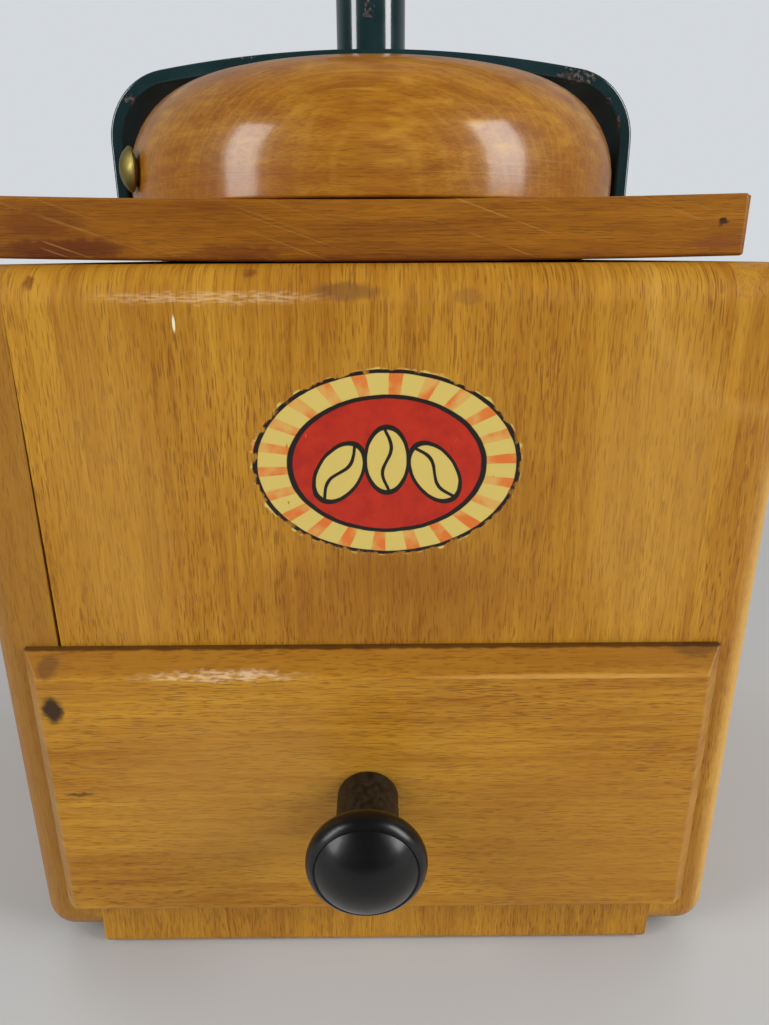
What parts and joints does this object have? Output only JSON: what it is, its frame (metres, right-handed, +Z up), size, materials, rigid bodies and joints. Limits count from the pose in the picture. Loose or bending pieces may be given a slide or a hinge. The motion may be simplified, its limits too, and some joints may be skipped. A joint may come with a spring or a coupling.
{
  "type": "hand crank coffee grinder",
  "caption": "Square wooden box coffee mill with a drawer, a turning dome lid under a steel bow, and a hand crank that turns a conical burr inside.",
  "frame": {"origin": "middle of the base board's underside, where the mill stands on the table", "axes": "+Z up; the drawer opens toward -Y; the crank at rest points along +X"},
  "size_m": [0.1985, 0.1569, 0.2772],
  "materials": {
    "varnished_beech": "amber varnish, worn",
    "plate_wood": "dark amber varnish, scratched",
    "dome_wood": "gloss varnish, turned",
    "grip_wood": "gloss varnish, turned",
    "plain_beech": "bare",
    "green_enamel": "gloss enamel, chipped",
    "black_gloss": "gloss, dusty",
    "brass": "polished, tarnished",
    "steel": "bright, oiled",
    "tinned_sheet": "tinned",
    "cast_iron": "as cast, oiled"
  },
  "bodies": {
    "mill": {"left_side_board": "varnished_beech", "right_side_board": "varnished_beech", "front_board": "varnished_beech", "back_board": "varnished_beech", "base_board": "varnished_beech", "deck_board": "plain_beech", "top_plate": "plate_wood", "bearing_bow": "green_enamel", "bearing_tower": "green_enamel", "bow_screws": "steel", "hopper_funnel": "tinned_sheet", "hopper_screws": "steel", "fill_shutter": "tinned_sheet", "burr_housing": "cast_iron", "housing_screws": "steel", "burr_ring": "cast_iron", "bearing_bridge": "cast_iron", "bridge_screws": "steel"},
    "lid": {"dome_lid": "dome_wood", "lid_knob": "brass", "lid_knob_nut": "brass"},
    "thrust": {"thrust_washer": "steel"},
    "adjuster": {"adjusting_nut": "brass"},
    "crank": {"shaft": "steel", "burr_cone": "cast_iron", "burr_pin": "steel", "lock_spring": "steel", "crank_arm": "green_enamel", "crank_nut": "steel", "grip_pin": "steel"},
    "grip": {"crank_grip": "grip_wood", "grip_ferrule": "brass"},
    "drawer": {"drawer_front": "varnished_beech", "drawer_left_side": "plain_beech", "drawer_right_side": "plain_beech", "drawer_back": "plain_beech", "drawer_bottom": "plain_beech", "drawer_knob": "black_gloss", "drawer_knob_screw": "steel"}
  },
  "joints": [
    {"name": "drawer_slide", "type": "slide", "parent": "mill", "child": "drawer", "axis": [0, -1, 0], "range_m": [0, 0.1]},
    {"name": "lid_turn", "type": "hinge", "parent": "mill", "child": "lid", "pos_m": [0, 0, 0.145], "axis": [0, 0, 1], "range_deg": [-14, 138]},
    {"name": "crank_turn", "type": "hinge", "parent": "mill", "child": "thrust", "pos_m": [0, 0, 0.19], "axis": [0, 0, 1], "continuous": true},
    {"name": "grind_adjust", "type": "hinge", "parent": "thrust", "child": "adjuster", "pos_m": [0, 0, 0.195], "axis": [0, 0, 1], "range_deg": [-180, 180]},
    {"name": "burr_lift", "type": "slide", "parent": "thrust", "child": "crank", "axis": [0, 0, 1], "range_m": [-0.0005, 0.0005]},
    {"name": "grip_spin", "type": "hinge", "parent": "crank", "child": "grip", "pos_m": [0.12, 0, 0.24], "axis": [0, 0, 1], "continuous": true}
  ],
  "couplings": [
    {"joint": "grind_adjust", "follows": "burr_lift", "rad_per_m": -6283.2}
  ]
}
